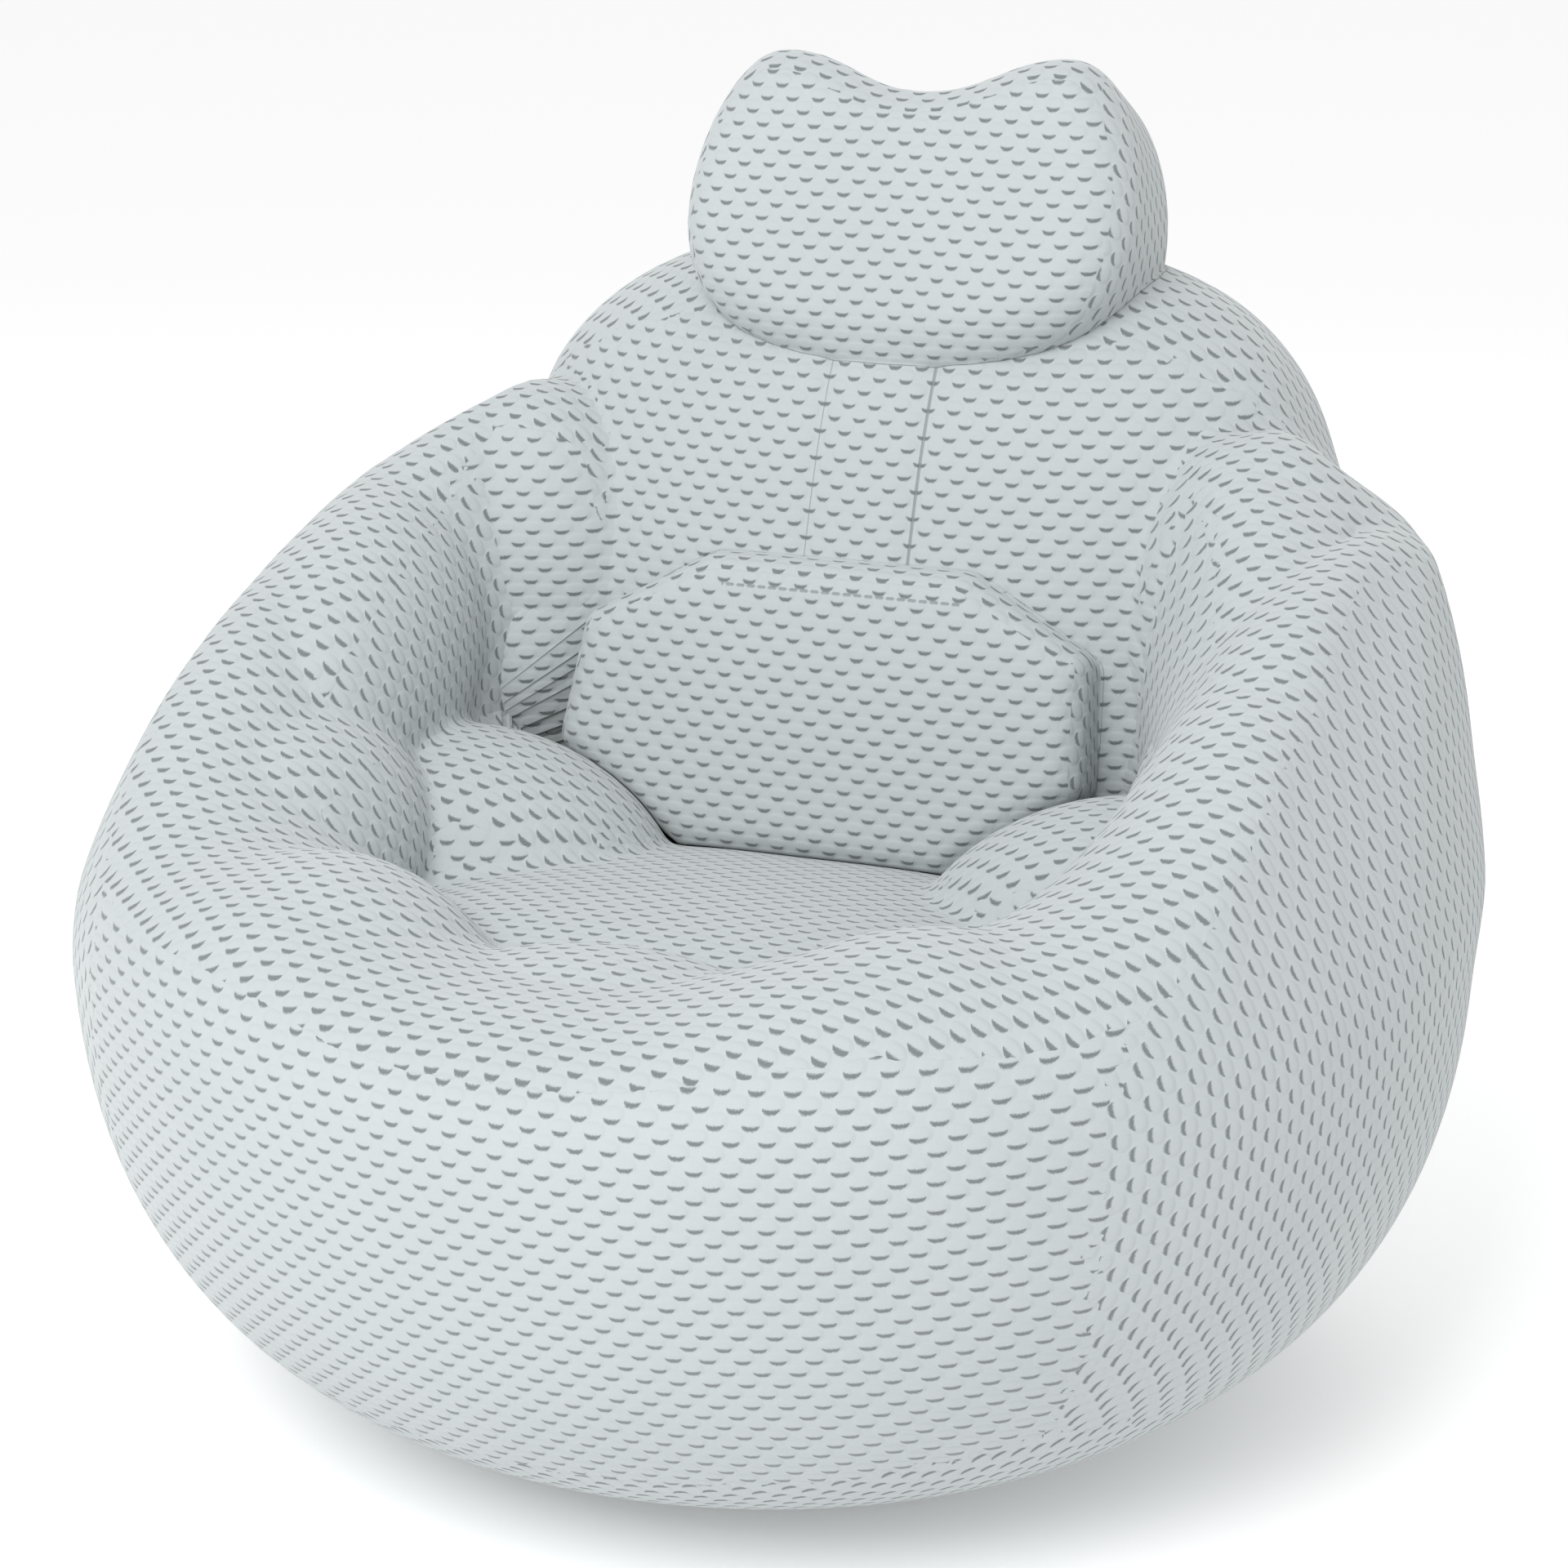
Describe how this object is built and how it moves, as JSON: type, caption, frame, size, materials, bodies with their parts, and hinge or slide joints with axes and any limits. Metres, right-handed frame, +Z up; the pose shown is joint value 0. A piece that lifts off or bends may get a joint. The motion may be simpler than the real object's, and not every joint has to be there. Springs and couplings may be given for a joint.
{
  "type": "bean bag chair",
  "caption": "Round bead-filled lounge chair with padded arms, backrest and seat, a loose lumbar cushion and a lift-off headrest pillow in dimpled knit cloth.",
  "frame": {"origin": "on the floor, at the middle of the round body", "axes": "+Z up, -Y towards the front of the seat, +X to the right of someone who faces the chair"},
  "size_m": [1.05, 1.05, 1.0001],
  "materials": {
    "cover_cloth": "matte",
    "liner_cloth": "matte",
    "beads": "matte",
    "wadding": "matte",
    "zip_tape": "matte",
    "zip_teeth": "satin",
    "zip_metal": "satin",
    "anti_slip": "matte",
    "hook_loop": "matte"
  },
  "bodies": {
    "chair": {"base_panel": "anti_slip", "base_cover": "cover_cloth", "base_liner": "liner_cloth", "base_beads": "beads", "backrest_cover": "cover_cloth", "backrest_liner": "liner_cloth", "backrest_beads": "beads", "arm_left_cover": "cover_cloth", "arm_left_liner": "liner_cloth", "arm_left_beads": "beads", "arm_right_cover": "cover_cloth", "arm_right_liner": "liner_cloth", "arm_right_beads": "beads", "seat_pad_cover": "cover_cloth", "seat_pad_wadding": "wadding", "seat_bolster_left_cover": "cover_cloth", "seat_bolster_left_wadding": "wadding", "seat_bolster_right_cover": "cover_cloth", "seat_bolster_right_wadding": "wadding", "main_zip_tape_upper": "zip_tape", "main_zip_tape_lower": "zip_tape", "main_zip_teeth": "zip_teeth", "main_zip_stop_left": "zip_metal", "main_zip_stop_right": "zip_metal", "headrest_loop_patch": "hook_loop"},
    "main_zip_pull": {"main_zip_slider": "zip_metal"},
    "lumbar_cushion": {"lumbar_cover": "cover_cloth", "lumbar_core": "wadding", "lumbar_zip_tape_upper": "zip_tape", "lumbar_zip_tape_lower": "zip_tape", "lumbar_zip_teeth": "zip_teeth"},
    "lumbar_zip_pull": {"lumbar_zip_slider": "zip_metal"},
    "headrest": {"headrest_cover": "cover_cloth", "headrest_core": "wadding", "headrest_zip_tape_upper": "zip_tape", "headrest_zip_tape_lower": "zip_tape", "headrest_zip_teeth": "zip_teeth", "headrest_hook_patch": "hook_loop"},
    "headrest_zip_pull": {"headrest_zip_slider": "zip_metal"}
  },
  "joints": [
    {"name": "main_zip_run", "type": "hinge", "parent": "chair", "child": "main_zip_pull", "pos_m": [0, 0, 0.25], "axis": [0, 0, 1], "range_deg": [0, 62]},
    {"name": "lumbar_lift", "type": "slide", "parent": "chair", "child": "lumbar_cushion", "axis": [0, -0.4067, 0.9135], "range_m": [0, 0.12]},
    {"name": "lumbar_zip_run", "type": "slide", "parent": "lumbar_cushion", "child": "lumbar_zip_pull", "axis": [1, 0, 0], "range_m": [-0.11, 0]},
    {"name": "headrest_lift", "type": "slide", "parent": "chair", "child": "headrest", "axis": [0, -0.3007, 0.9537], "range_m": [0, 0.15]},
    {"name": "headrest_zip_run", "type": "slide", "parent": "headrest", "child": "headrest_zip_pull", "axis": [1, 0, 0], "range_m": [-0.16, 0]}
  ]
}
